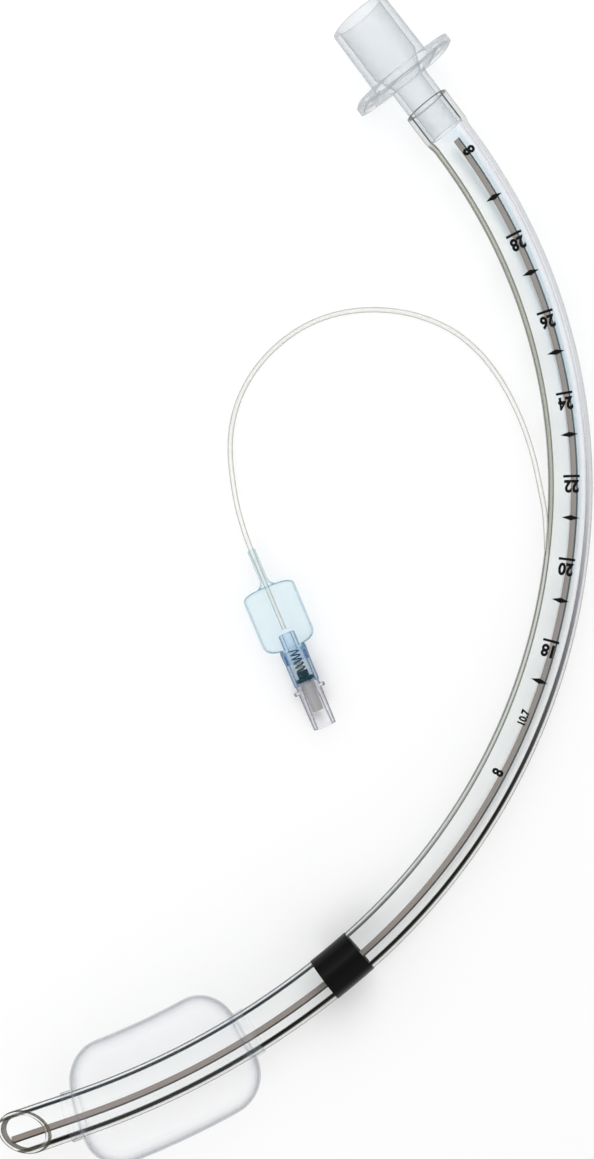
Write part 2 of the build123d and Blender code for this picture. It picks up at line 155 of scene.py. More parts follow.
# Photograph: camera height over the floor, place over the floor, direction of the picture's top,
# and the focal length and the picture's height in the photograph's pixels
CAMERA_HEIGHT = 380.0
CAMERA_X = 14.17
CAMERA_Y = -3.60
PICTURE_TURN = -38.08
FOCAL_PIXELS = 1552
PICTURE_PIXELS = 1159
SENSOR_HEIGHT = 36
FLOOR_HALF = 1500.0

# Clear plastic: how many layers light goes through, what one layer leaves of the light, how deep
# its flow marks are in metres, and the blend at which Facing is 1 minus the cosine of the slant
CLEAR_LAYERS = 32
SHADOW_TINT = 0.99
FLOW_DEPTH = 0.0004
COSINE_BLEND = 0.5


# Frame of the tube: its axis at the machine end, and the upward normal of its bend

mounts = {mount["name"]: mount for mount in frame["record"]["mounts"]}
bore_mount = mounts["airway_bore"]
outward = Vector(bore_mount["axis"]).normalized()
bore_middle = Vector(bore_mount["pos_m"])
machine_end = bore_middle + outward * (SPIGOT_LENGTH * MM - bore_mount["dims"]["length_mm"] / 2 * MM)


def mesh_middle(node):
    """The mean of a CAD node's vertices."""
    points = [vertex.co for vertex in frame["nodes"][node].data.vertices]
    return sum(points, Vector()) / len(points)


upward = (mesh_middle("depth_band") - machine_end).cross(outward).normalized()
if upward.z < 0:
    upward.negate()


pilot_axis = Vector(mounts["luer_socket"]["axis"]).normalized()
pilot_neck = Vector(mounts["luer_socket"]["pos_m"]) - pilot_axis * SOCKET_END * MM


def station(distance):
    """(origin, along, inward) on the tube's centreline, at a distance in mm from its machine end.
    The last straight runs on past the tip, where a bevel's ring may reach."""
    origin = machine_end.copy()
    along = -outward
    inward = along.cross(upward)
    left = distance
    for length, radius in (
        (FLARE_END, None),
        *((radius * radians(turn), radius) for radius, turn in BENDS),
        (RUN_ON, None),
    ):
        step = min(left, length)
        left -= step
        if radius is None:
            origin = origin + along * step * MM
            continue
        angle = step / radius
        origin = origin + (along * sin(angle) + inward * (1 - cos(angle))) * radius * MM
        along, inward = (
            along * cos(angle) + inward * sin(angle),
            inward * cos(angle) - along * sin(angle),
        )
    return origin, along, inward


def on_tube(distance, radius, angle):
    """A point round the tube: angle 0 is the inner side of the bend, 90 degrees the upper side."""
    origin, _, inward = station(distance)
    return origin + (inward * cos(angle) + upward * sin(angle)) * radius * MM


# Mesh helpers

def add_mesh(name, points, faces, body=ROOT, smooth=True):
    """A mesh object in the scene, riding on a body."""
    mesh = bpy.data.meshes.new(name)
    mesh.from_pydata([tuple(point) for point in points], [], faces)
    mesh.validate()
    if smooth:
        mesh.polygons.foreach_set("use_smooth", [True] * len(mesh.polygons))
    piece = bpy.data.objects.new(name, mesh)
    bpy.context.scene.collection.objects.link(piece)
    if body:
        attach(piece, body)
    return piece


def skin(courses, closed=True):
    """Points and quads over rings of equal size; closed joins the last ring to the first."""
    count = len(courses[0])
    points = [point for course in courses for point in course]
    faces = []
    last = len(courses) if closed else len(courses) - 1
    for row in range(last):
        below = row * count
        above = (row + 1) % len(courses) * count
        for column in range(count):
            after = (column + 1) % count
            faces.append((below + column, below + after, above + after, above + column))
    return points, faces


def ring(distance, radius, count):
    """A ring of points round the tube."""
    return [on_tube(distance, radius, 2 * pi * step / count) for step in range(count)]


def ease(share):
    """Smooth step from 0 to 1."""
    share = min(1, max(0, share))
    return share * share * (3 - 2 * share)


# Materials

def material(name, base, roughness, **sockets):
    """A Principled material; returns it with its nodes, links and shader."""
    made = bpy.data.materials.new(name)
    made.use_nodes = True
    nodes = made.node_tree.nodes
    shader = nodes["Principled BSDF"]
    shader.inputs["Base Color"].default_value = (*base, 1)
    shader.inputs["Roughness"].default_value = roughness
    for socket, value in sockets.items():
        shader.inputs[socket.replace("_", " ")].default_value = value
    return made, nodes, made.node_tree.links, shader


def opaque(name, base, roughness, **sockets):
    """A plain Principled material."""
    return material(name, base, roughness, **sockets)[0]


def by_slant(nodes, links, stops):
    """A value or colour that follows how obliquely a clear surface is met: stops are
    (share, grey or colour), share 0 face on and 1 at its outline."""
    weight = nodes.new("ShaderNodeLayerWeight")
    weight.inputs["Blend"].default_value = COSINE_BLEND
    ramp = nodes.new("ShaderNodeValToRGB")
    links.new(weight.outputs["Facing"], ramp.inputs["Fac"])
    elements = ramp.color_ramp.elements
    while len(elements) < len(stops):
        elements.new(0.5)
    for element, (share, shade) in zip(elements, stops):
        element.position = share
        element.color = (*shade, 1) if isinstance(shade, tuple) else (shade, shade, shade, 1)
    return ramp.outputs["Color"]


def let_light_through(made, tint):
    """Light reaches what lies under a clear piece: its shadow has only this tint."""
    nodes = made.node_tree.nodes
    links = made.node_tree.links
    output = nodes["Material Output"]
    shader = output.inputs["Surface"].links[0].from_socket
    clear = nodes.new("ShaderNodeBsdfTransparent")
    clear.inputs["Color"].default_value = (tint, tint, tint, 1)
    path = nodes.new("ShaderNodeLightPath")
    mix = nodes.new("ShaderNodeMixShader")
    links.new(path.outputs["Is Shadow Ray"], mix.inputs["Fac"])
    links.new(shader, mix.inputs[1])
    links.new(clear.outputs["BSDF"], mix.inputs[2])
    links.new(mix.outputs["Shader"], output.inputs["Surface"])


def flow_marks(nodes, links, shader, scale, strength):
    """Faint long waves that drawn and moulded plastic has in its surface."""
    place = nodes.new("ShaderNodeTexCoord")
    flow = nodes.new("ShaderNodeTexNoise")
    flow.inputs["Scale"].default_value = scale
    flow.inputs["Detail"].default_value = 2
    bump = nodes.new("ShaderNodeBump")
    bump.inputs["Strength"].default_value = strength
    bump.inputs["Distance"].default_value = FLOW_DEPTH
    links.new(place.outputs["Object"], flow.inputs["Vector"])
    links.new(flow.outputs["Fac"], bump.inputs["Height"])
    links.new(bump.outputs["Normal"], shader.inputs["Normal"])


def clear_film(name, colours, cover, roughness, scale=120, strength=0.1):
    """A thin clear wall that isn't refracting: colours and cover follow how it is met, the colours
    darkening towards the outline as painted edge shade.
    """
    made, nodes, links, shader = material(name, (1, 1, 1), roughness, IOR=1.4)
    links.new(by_slant(nodes, links, colours), shader.inputs["Base Color"])
    links.new(by_slant(nodes, links, cover), shader.inputs["Alpha"])
    flow_marks(nodes, links, shader, scale, strength)
    let_light_through(made, SHADOW_TINT)
    return made


def use(piece, made):
    """Give a piece one material."""
    piece.data.materials.clear()
    piece.data.materials.append(made)
    return piece


def dress_node(node, made):
    """Give a CAD node one material in all its slots."""
    piece = frame["nodes"][node]
    if not piece.material_slots:
        piece.data.materials.append(made)
    for slot in piece.material_slots:
        slot.material = made
    return piece


def slant_at(offset, radius=TUBE_RADIUS):
    """How obliquely a round wall is met where it is seen this far from its middle."""
    return 1 - sqrt(max(0, 1 - (offset / radius) ** 2))


def blend_by(nodes, links, attribute, first, second):
    """The first colour where the mesh attribute is 0, the second where it is 1."""
    share = nodes.new("ShaderNodeAttribute")
    share.attribute_name = attribute
    mix = nodes.new("ShaderNodeMixRGB")
    links.new(share.outputs["Fac"], mix.inputs["Fac"])
    links.new(first, mix.inputs["Color1"])
    links.new(second, mix.inputs["Color2"])
    return mix.outputs["Color"]


# Painted shade of the tube's clear wall: (mm from the tube's middle, colour, cover). The dark bands are
# painted shade for the dark edges that refraction draws in the wall and bore. INNER and OUTER are the
# sides of the bend, painted darker or lighter on each side as the light falls. At the machine end the
# wall is paler, and towards the tip its edges draw black.
OVER_SPIGOT = (
    (0.0, (0.35, 0.45, 0.5), 0.04),
    (4.25, (0.5, 0.55, 0.6), 0.1),
    (4.45, (0.03, 0.04, 0.03), 0.9),
    (4.6, (0.03, 0.04, 0.03), 0.9),
    (4.75, (0.6, 0.62, 0.6), 0.3),
    (5.45, (0.6, 0.62, 0.6), 0.4),
    (5.6, (0.3, 0.3, 0.3), 0.7),
    (5.75, (0.6, 0.6, 0.6), 0.5),
)
INNER_SIDE_TOP = (
    (0.0, (0.6, 0.74, 0.7), 0.03),
    (3.8, (0.6, 0.74, 0.7), 0.06),
    (4.05, (0.04, 0.045, 0.02), 0.85),
    (4.3, (0.36, 0.36, 0.28), 0.5),
    (4.75, (0.36, 0.36, 0.28), 0.5),
    (5.0, (0.04, 0.045, 0.02), 0.9),
    (5.2, (0.3, 0.3, 0.26), 0.6),
    (5.35, (0.6, 0.6, 0.6), 0.5),
)
OUTER_SIDE_TOP = (
    (0.0, (0.6, 0.74, 0.7), 0.03),
    (0.5, (0.2, 0.5, 0.68), 0.1),
    (1.0, (0.06, 0.42, 0.65), 0.2),
    (2.3, (0.06, 0.42, 0.65), 0.2),
    (2.8, (0.3, 0.55, 0.75), 0.08),
    (3.2, (0.6, 0.68, 0.85), 0.06),
    (3.9, (0.45, 0.45, 0.52), 0.3),
    (4.2, (0.6, 0.62, 0.7), 0.25),
    (4.7, (0.62, 0.64, 0.66), 0.45),
    (5.1, (0.6, 0.62, 0.6), 0.5),
    (5.25, (0.4, 0.42, 0.4), 0.7),
    (5.35, (0.6, 0.6, 0.6), 0.5),
)
INNER_SIDE_TIP = (
    (0.0, (0.55, 0.68, 0.66), 0.03),
    (3.8, (0.55, 0.68, 0.66), 0.06),
    (4.0, (0.004, 0.006, 0.012), 1.0),
    (4.55, (0.006, 0.01, 0.02), 1.0),
    (4.7, (0.7, 0.78, 0.85), 0.25),
    (4.95, (0.8, 0.8, 0.8), 0.12),
    (5.08, (0.03, 0.03, 0.03), 0.95),
    (5.25, (0.05, 0.05, 0.05), 0.9),
    (5.35, (0.4, 0.4, 0.4), 0.6),
)
OUTER_SIDE_TIP = (
    (0.0, (0.6, 0.66, 0.6), 0.02),
    (3.5, (0.6, 0.66, 0.6), 0.04),
    (3.75, (0.003, 0.004, 0.003), 1.0),
    (4.5, (0.004, 0.005, 0.003), 1.0),
    (4.65, (0.6, 0.58, 0.5), 0.3),
    (5.05, (0.75, 0.74, 0.7), 0.15),
    (5.2, (0.12, 0.11, 0.09), 0.8),
    (5.35, (0.4, 0.4, 0.4), 0.6),
)


def tube_plastic():
    """The clear wall of the tube, with painted shade that changes along it and from side to side."""
    made, nodes, links, shader = material(
        "tube_clear", (1, 1, 1), 0.03, IOR=1.5, Specular_IOR_Level=0.2
    )
    for socket, column in (("Base Color", 1), ("Alpha", 2)):
        corners = []
        for stops in (INNER_SIDE_TOP, OUTER_SIDE_TOP, INNER_SIDE_TIP, OUTER_SIDE_TIP):
            shades = [(slant_at(stop[0]), stop[column]) for stop in stops]
            corners.append(by_slant(nodes, links, shades))
        top = blend_by(nodes, links, "outer_side", corners[0], corners[1])
        tip = blend_by(nodes, links, "outer_side", corners[2], corners[3])
        free = blend_by(nodes, links, "towards_tip", top, tip)
        shades = [(slant_at(stop[0], FLARE_RADIUS), stop[column]) for stop in OVER_SPIGOT]
        stretched = by_slant(nodes, links, shades)
        links.new(blend_by(nodes, links, "over_spigot", free, stretched), shader.inputs[socket])
    flow_marks(nodes, links, shader, scale=90, strength=0.04)
    let_light_through(made, SHADOW_TINT)
    return made


tube_clear = tube_plastic()
# Painted shade: the bore greys towards its outline
bore_clear = clear_film(
    "bore_clear",
    ((0.0, (0.8, 0.85, 0.9)), (1.0, (0.5, 0.55, 0.6))),
    ((0.0, 0.02), (0.7, 0.03), (1.0, 0.3)),
    0.03,
)
# Painted shade: the pale channel goes dark at its outline
lumen_clear = clear_film(
    "lumen_clear",
    ((0.0, (0.95, 0.97, 1.0)), (0.6, (0.6, 0.65, 0.7)), (1.0, (0.1, 0.12, 0.15))),
    ((0.0, 0.85), (0.6, 0.7), (1.0, 0.9)),
    0.1,
)
# Painted dark shade for the tube's cut rims and machine end, darkest towards the outline
cut_edge = clear_film(
    "cut_edge",
    ((0.0, (0.06, 0.055, 0.03)), (1.0, (0.02, 0.02, 0.012))),
    ((0.0, 0.85), (1.0, 0.95)),
    0.15,
)
# Painted grey shade for the bevel's flat cut face, darker towards the outline
cut_face = clear_film(
    "cut_face",
    ((0.0, (0.75, 0.74, 0.66)), (1.0, (0.4, 0.4, 0.32))),
    ((0.0, 0.15), (1.0, 0.4)),
    0.15,
)
# Painted shade: the pale line goes grey, then dark, towards its outline
line_clear = clear_film(
    "line_clear",
    (
        (0.0, (0.8, 0.81, 0.8)),
        (0.3, (0.6, 0.6, 0.54)),
        (0.65, (0.16, 0.16, 0.12)),
        (1.0, (0.2, 0.2, 0.18)),
    ),
    ((0.0, 0.3), (0.3, 0.45), (0.65, 0.8), (1.0, 0.85)),
    0.1,
)
# Painted shade: the socket goes dark violet towards its outline
socket_clear = clear_film(
    "socket_clear",
    ((0.0, (0.5, 0.5, 0.65)), (0.35, (0.2, 0.19, 0.32)), (1.0, (0.006, 0.004, 0.03))),
    ((0.0, 0.015), (0.3, 0.03), (0.5, 0.25), (0.7, 0.9), (1.0, 1.0)),
    0.05,
)
# Blue of its own, with painted shade darkening it towards its outline
body_clear = clear_film(
    "body_clear",
    ((0.0, (0.05, 0.42, 0.62)), (0.4, (0.015, 0.22, 0.42)), (1.0, (0.004, 0.07, 0.2))),
    ((0.0, 0.03), (0.3, 0.07), (0.5, 0.3), (0.75, 0.9), (1.0, 1.0)),
    0.05,
)
# Blue of its own, with painted shade darkening it towards its outline
cap_blue = clear_film(
    "cap_blue",
    ((0.0, (0.015, 0.28, 0.58)), (0.4, (0.006, 0.14, 0.4)), (1.0, (0.002, 0.04, 0.17))),
    ((0.0, 0.05), (0.3, 0.11), (0.5, 0.35), (0.75, 0.92), (1.0, 1.0)),
    0.05,
)
# Pale blue film of its own colour, painted darker teal towards its outline as shade
balloon_blue = clear_film(
    "balloon_blue",
    ((0.0, (0.25, 0.6, 0.7)), (0.5, (0.15, 0.45, 0.58)), (1.0, (0.01, 0.1, 0.15))),
    ((0.0, 0.04), (0.3, 0.08), (0.55, 0.22), (0.75, 0.75), (1.0, 1.0)),
    0.15,
)
# Painted shade: the cuff film greys, then goes dark, towards its outline
cuff_clear = clear_film(
    "cuff_clear",
    (
        (0.0, (0.96, 0.98, 1.0)),
        (0.35, (0.85, 0.89, 0.97)),
        (0.6, (0.35, 0.38, 0.46)),
        (1.0, (0.12, 0.13, 0.15)),
    ),
    ((0.0, 0.01), (0.35, 0.015), (0.5, 0.04), (0.65, 0.12), (0.85, 0.38), (1.0, 0.8)),
    0.2,
)
# Painted shade: the welded collars grey towards their outline
weld_clear = clear_film(
    "weld_clear",
    ((0.0, (0.85, 0.88, 0.9)), (0.8, (0.6, 0.63, 0.66)), (1.0, (0.4, 0.42, 0.45))),
    ((0.0, 0.08), (0.7, 0.1), (1.0, 0.25)),
    0.2,
)
# The milky plastic is greyed by painted shade, darkest towards its outline
connector_milky = clear_film(
    "connector_milky",
    ((0.0, (0.56, 0.6, 0.63)), (0.5, (0.46, 0.5, 0.53)), (1.0, (0.2, 0.23, 0.26))),
    ((0.0, 0.2), (0.5, 0.28), (0.8, 0.5), (1.0, 0.8)),
    0.3,
)
black_ink = opaque("black_ink", (0.003, 0.003, 0.004), 0.5, Specular_IOR_Level=0.08)
band_ink = opaque("band_ink", (0.002, 0.002, 0.002), 0.3, Specular_IOR_Level=0.12)
stripe_taupe = opaque("stripe_taupe", (0.27, 0.225, 0.2), 0.5, Specular_IOR_Level=0.1)
# The stripe's own colour is the taupe; the darker brown beside it is painted shade for one half of the
# stripe
stripe_painted_shade = opaque("stripe_painted_shade", (0.03, 0.022, 0.02), 0.5, Specular_IOR_Level=0.1)
black_rubber = opaque("black_rubber", (0.003, 0.005, 0.006), 0.5, Specular_IOR_Level=0.2)
grey_stem = opaque("grey_stem", (0.34, 0.34, 0.34), 0.45)
spring_steel = opaque("spring_steel", (0.04, 0.05, 0.06), 0.3, Metallic=1.0)


# Airway tube

def outer_radius(distance):
    """Outside of the tube, stretched over the connector's spigot at its machine end."""
    start = SPIGOT_LENGTH - FLARE_LEAD
    rise = 1 - ease((distance - start) / (FLARE_END - start))
    return TUBE_RADIUS - SURFACE_GAP + (FLARE_RADIUS - TUBE_RADIUS) * rise


def inner_radius(distance):
    """Bore of the tube, which opens over the spigot."""
    if distance <= SPIGOT_LENGTH:
        return SPIGOT_RADIUS + SURFACE_GAP
    rise = 1 - (distance - SPIGOT_LENGTH) / (FLARE_END - SPIGOT_LENGTH)
    return BORE_RADIUS + (SPIGOT_RADIUS + SURFACE_GAP - BORE_RADIUS) * max(0, rise)


def bevel_ring(radius, cut_back, share=1.0):
    """A ring near the tip: share 1 lies on the bevel, moved back by cut_back; 0 where it starts."""
    points = []
    for step in range(TUBE_SIDES):
        angle = 2 * pi * step / TUBE_SIDES
        end = TUBE_LENGTH - radius * sin(angle) / tan(radians(BEVEL_ANGLE)) - cut_back
        points.append(on_tube(BEVEL_START + (end - BEVEL_START) * share, radius, angle))
    return points


def tube_courses(spots):
    """Rings along the outside, over the bevelled rim, back along the bore and round the machine
    end, with the rows where the rim, its cut face, the bore's even part and the end begin."""
    slant = sin(radians(BEVEL_ANGLE))
    bevel_shares = np.linspace(0, 1, BEVEL_COURSES)
    turns = np.linspace(0, pi / 2, ROUND_COURSES)
    courses = [ring(spot, outer_radius(spot), TUBE_SIDES) for spot in spots]
    for share in bevel_shares[:-1]:
        courses.append(bevel_ring(TUBE_RADIUS, BEVEL_OUTER_ROUND / slant, share))
    rim = len(courses)
    for angle in turns:
        radius = TUBE_RADIUS - BEVEL_OUTER_ROUND * (1 - cos(angle))
        courses.append(bevel_ring(radius, BEVEL_OUTER_ROUND * (1 - sin(angle)) / slant))
    cut = len(courses) - 1
    courses.append(bevel_ring(BORE_RADIUS + BEVEL_INNER_CHAMFER, 0))
    courses.append(bevel_ring(BORE_RADIUS, BEVEL_INNER_CHAMFER / slant))
    for share in bevel_shares[-2::-1]:
        courses.append(bevel_ring(BORE_RADIUS, BEVEL_INNER_CHAMFER / slant, share))
    straight = len(courses)
    for spot in reversed(spots):
        courses.append(ring(spot, inner_radius(spot), TUBE_SIDES))
    courses.append(ring(0, SPIGOT_RADIUS + SURFACE_GAP, TUBE_SIDES))
    end = len(courses) - 1
    for angle in turns[:-1]:
        radius = FLARE_RADIUS - BEVEL_OUTER_ROUND * (1 - sin(angle))
        courses.append(ring(BEVEL_OUTER_ROUND * (1 - cos(angle)), radius, TUBE_SIDES))
    return courses, (rim, cut, straight, end)


def there_and_back(shares, turned, straight, total, last):
    """A value for each row: along the outside, the same one round the bevel, back along the bore
    and another one round the machine end."""
    rows = shares + [turned] * (straight - len(shares)) + shares[::-1]
    return rows + [last] * (total - len(rows))


def point_values(piece, name, values):
    """A number for each point of a piece, which its material reads."""
    made = piece.data.attributes.new(name, "FLOAT", "POINT")
    made.data.foreach_set("value", values)


def airway_tube():
    """The whole wall of the tube: outside, bevelled rim, bore and machine end."""
    spots = list(np.arange(BEVEL_OUTER_ROUND, FLARE_END + 1, FLARE_STEP))
    spots += list(np.arange(FLARE_END + 1, BEVEL_START, BEND_STEP))
    courses, (rim, cut, straight, end) = tube_courses(spots)
    total = len(courses)
    points, faces = skin(courses)
    piece = add_mesh("tube_wall", points, faces)
    for made in (tube_clear, bore_clear, cut_edge, cut_face):
        piece.data.materials.append(made)
    # Rims and machine end take the painted dark shade, the bevel's face the painted grey shade, the bore
    # its painted edge shade
    bands = ((rim, cut, 2), (cut, cut + 1, 3), (cut + 1, cut + 2, 2), (cut + 2, end, 1), (end, total, 2))
    for first, last, index in bands:
        for polygon in piece.data.polygons[first * TUBE_SIDES : last * TUBE_SIDES]:
            polygon.material_index = index
    # Masks that blend the painted shade tables: outer_side round the tube, towards_tip along it,
    # over_spigot at the machine end
    outer = [ease(0.5 - cos(2 * pi * step / TUBE_SIDES)) for step in range(TUBE_SIDES)]
    point_values(piece, "outer_side", outer * total)
    looks = []
    for look_start, look_end in (INNER_LOOK, OUTER_LOOK):
        along = [ease((spot - look_start) / (look_end - look_start)) for spot in spots]
        looks.append(there_and_back(along, 1, straight, total, 0))
    towards_tip = [a + (b - a) * share for a, b in zip(*looks) for share in outer]
    point_values(piece, "towards_tip", towards_tip)
    along = [1 - ease((spot - SPIGOT_LENGTH + GRIP_LEAD) / GRIP_FADE) for spot in spots]
    over = there_and_back(along, 0, straight, total, 1)
    point_values(piece, "over_spigot", [share for share in over for _ in range(TUBE_SIDES)])
    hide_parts("tube_body")


def inflation_lumen():
    """The hollow channel inside the tube's wall, on the inner side of the bend."""
    sides = LUMEN_SIDES
    courses = []
    for spot in np.arange(LINE_SEAT_STATION, PORT_STATION + PORT_LENGTH / 2, BEND_STEP):
        course = []
        for step in range(sides):
            angle = 2 * pi * step / sides
            origin, _, inward = station(spot)
            offset = inward * (WALL_MIDDLE + LUMEN_RADIUS * cos(angle))
            course.append(origin + (offset + upward * LUMEN_RADIUS * sin(angle)) * MM)
        courses.append(course)
    points, faces = skin(courses, closed=False)
    faces = [face[::-1] for face in faces]
    faces.append(tuple(range(sides)))
    faces.append(tuple(range((len(courses) - 1) * sides, len(courses) * sides))[::-1])
    piece = add_mesh("inflation_lumen", points, faces)
    return use(piece, lumen_clear)


def xray_stripe():
    """The opaque stripe buried in the wall, low on the outer side of the bend, with painted shade on one
    half of its outline.
    """
    drop = WALL_MIDDLE * cos(radians(STRIPE_TURN))
    end = TUBE_LENGTH + drop / tan(radians(BEVEL_ANGLE)) - STRIPE_END_COVER
    round_end = STRIPE_THICKNESS / 2
    flat = STRIPE_WIDTH / 2 - round_end
    outline = []
    for side in (1, -1):
        for angle in np.linspace(-pi / 2, pi / 2, STRIPE_ROUND_POINTS):
            outline.append((side * (flat + round_end * cos(angle)), side * round_end * sin(angle)))
    middle = -pi / 2 - radians(STRIPE_TURN)
    courses = []
    for spot in np.append(np.arange(FLARE_END, end, STRIPE_STEP), end):
        origin, _, inward = station(spot)
        out = inward * cos(middle) + upward * sin(middle)
        across = inward * sin(middle) - upward * cos(middle)
        middle_point = origin + out * WALL_MIDDLE * MM
        courses.append([middle_point + (across * a + out * b) * MM for a, b in outline])
    points, faces = skin(courses, closed=False)
    count = len(outline)
    faces.append(tuple(range(count)))
    faces.append(tuple(range(len(points) - count, len(points)))[::-1])
    piece = add_mesh("xray_stripe", points, faces, smooth=False)
    piece.data.materials.append(stripe_taupe)
    piece.data.materials.append(stripe_painted_shade)
    # One half of the stripe's sides takes the painted shade
    for polygon in piece.data.polygons[: (len(courses) - 1) * count]:
        polygon.material_index = 1 if polygon.index % count < count // 2 - 1 else 0
    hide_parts("xray_line")


airway_tube()
inflation_lumen()
xray_stripe()


# Cuff

def cuff_outline():
    """(distance, radius) round the film's section: outside first, then back along the inside."""
    start = CUFF_STATION - CUFF_BARREL / 2
    end = CUFF_STATION + CUFF_BARREL / 2
    rise = CUFF_RADIUS - TUBE_RADIUS
    neck = TUBE_RADIUS + COLLAR_THICKNESS
    outside = [
        (start - CUFF_SHOULDER - COLLAR_LENGTH, TUBE_RADIUS),
        (start - CUFF_SHOULDER - COLLAR_LENGTH, neck),
        (start - CUFF_SHOULDER - COLLAR_CLEAR, neck),
    ]
    quarter = [radians(90 * step / CUFF_STEPS) for step in range(1, CUFF_STEPS + 1)]
    along = np.linspace(0, 1, BARREL_COURSES)[1:]
    outside += [
        (start - CUFF_SHOULDER * cos(a), TUBE_RADIUS + rise * sin(a)) for a in quarter
    ]
    outside += [(start + CUFF_BARREL * share, CUFF_RADIUS) for share in along]
    outside += [
        (end + CUFF_SHOULDER * cos(a), TUBE_RADIUS + rise * sin(a)) for a in quarter[-2::-1]
    ]
    outside += [
        (end + CUFF_SHOULDER + COLLAR_CLEAR, neck),
        (end + CUFF_SHOULDER + COLLAR_LENGTH, neck),
        (end + CUFF_SHOULDER + COLLAR_LENGTH, TUBE_RADIUS),
    ]
    thin = rise - CUFF_FILM
    short = CUFF_SHOULDER - CUFF_FILM
    inside = [(end + short, TUBE_RADIUS)]
    inside += [(end + short * cos(a), TUBE_RADIUS + thin * sin(a)) for a in quarter]
    inside += [(end - CUFF_BARREL * share, TUBE_RADIUS + thin) for share in along]
    inside += [
        (start - short * cos(a), TUBE_RADIUS + thin * sin(a)) for a in quarter[-2::-1]
    ]
    inside.append((start - short, TUBE_RADIUS))
    return outside + inside


def cuff():
    """The inflated film with its two welded collars."""
    courses = [ring(distance, radius, CUFF_SIDES) for distance, radius in cuff_outline()]
    points, faces = skin(courses)
    piece = add_mesh("cuff_film", points, faces)
    piece.data.materials.append(cuff_clear)
    piece.data.materials.append(weld_clear)
    outside = (len(courses) - 1) // 2
    collar_rows = (0, 1, outside - 3, outside - 2, outside - 1)
    for row in collar_rows:
        for polygon in piece.data.polygons[row * CUFF_SIDES : (row + 1) * CUFF_SIDES]:
            polygon.material_index = 1
    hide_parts("cuff")


cuff()


# Pilot balloon

def balloon_outline():
    """(distance, half width, half height) along the balloon, from its sleeve's end to the valve."""
    quarter = [radians(90 * step / BALLOON_STEPS) for step in range(BALLOON_STEPS + 1)]
    flare_high = SLEEVE_RADIUS + (BALLOON_HIGH - SLEEVE_RADIUS) / 3
    start = SLEEVE_LENGTH - NECK_FLARE / 2
    end_radius = SLEEVE_RADIUS - SLEEVE_TAPER
    grip_radius = BALLOON_MOUTH + BALLOON_GRIP_SPREAD
    outline = [
        (0.0, end_radius, end_radius),
        (SLEEVE_TAPER_LENGTH, SLEEVE_RADIUS, SLEEVE_RADIUS),
        (start - SLEEVE_CLEAR, SLEEVE_RADIUS, SLEEVE_RADIUS),
    ]
    for angle in quarter:
        grown = 1 - cos(angle)
        wide = SLEEVE_RADIUS + (NECK_FLARE_WIDE - SLEEVE_RADIUS) * grown
        high = SLEEVE_RADIUS + (flare_high - SLEEVE_RADIUS) * grown
        outline.append((start + NECK_FLARE * sin(angle), wide, high))
    for angle in quarter[1:]:
        grown = sin(angle)
        wide = NECK_FLARE_WIDE + (BALLOON_WIDE - NECK_FLARE_WIDE) * grown
        high = flare_high + (BALLOON_HIGH - flare_high) * grown
        outline.append((start + NECK_FLARE + UPPER_SHOULDER * (1 - cos(angle)), wide, high))
    for angle in quarter:
        left = cos(angle)
        wide = BALLOON_MOUTH + (BALLOON_WIDE - BALLOON_MOUTH) * left
        high = BALLOON_MOUTH + (BALLOON_HIGH - BALLOON_MOUTH) * left
        outline.append((BALLOON_END - LOWER_SHOULDER * (1 - sin(angle)), wide, high))
    outline.append((BALLOON_END + BALLOON_GRIP, grip_radius, grip_radius))
    return outline


def pilot_balloon():
    """The balloon's film, drawn out into the sleeve that holds the line."""
    side = pilot_axis.cross(Vector((0, 0, 1))).normalized()
    above = side.cross(pilot_axis)
    courses = []
    outside = balloon_outline()
    inside = [(distance, wide - BALLOON_FILM, high - BALLOON_FILM) for distance, wide, high in outside]
    for distance, wide, high in outside + inside[::-1]:
        course = []
        for step in range(BALLOON_SIDES):
            angle = 2 * pi * step / BALLOON_SIDES
            offset = side * wide * cos(angle) + above * high * sin(angle)
            course.append(pilot_neck + (pilot_axis * distance + offset) * MM)
        courses.append(course)
    points, faces = skin(courses)
    piece = add_mesh("balloon_film", points, faces)
    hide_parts("pilot_balloon")
    return use(piece, balloon_blue)


pilot_balloon()


# Print

def numeral(name, text, height, place, turn):
    """Digits wrapped on the tube: place is (distance, towards the bend's inner side) and turn 0
    has their tops towards the tip."""
    font = bpy.data.curves.new(name, "FONT")
    font.body = text
    font.align_x = "CENTER"
    font.align_y = "CENTER"
    font.size = height / CAPITAL_SHARE
    font.resolution_u = 3
    font.offset = DIGIT_BOLD * height
    holder = bpy.data.objects.new(name + "_flat", font)
    bpy.context.scene.collection.objects.link(holder)
    flat = bpy.data.meshes.new_from_object(holder)
    bpy.data.objects.remove(holder)
    c, s = cos(radians(turn)), sin(radians(turn))
    radius = TUBE_RADIUS + INK_LIFT
    points = []
    for vertex in flat.vertices:
        x, y = vertex.co.x * DIGIT_NARROW, vertex.co.y
        distance = place[0] + x * s + y * c
        across = place[1] + x * c - y * s
        points.append(on_tube(distance, radius, pi / 2 - radians(SCALE_TURN) - across / radius))
    faces = [tuple(polygon.vertices) for polygon in flat.polygons]
    piece = add_mesh(name, points, faces, smooth=False)
    thick = piece.modifiers.new("ink", "SOLIDIFY")
    thick.thickness = INK_THICKNESS * MM
    thick.offset = 1
    return use(piece, black_ink)


for value in SCALE_FIGURES:
    place = (SCALE_ZERO - SCALE_PITCH * value + DIGIT_DROP, 0)
    numeral(f"scale_{value}", str(value), DIGIT_HEIGHT, place, 0)
for name, figures, height, distance, shift in SIZE_FIGURES:
    numeral(name, figures, height, (distance, shift), SIZE_TURN)


# Pieces that keep the shape of their solids

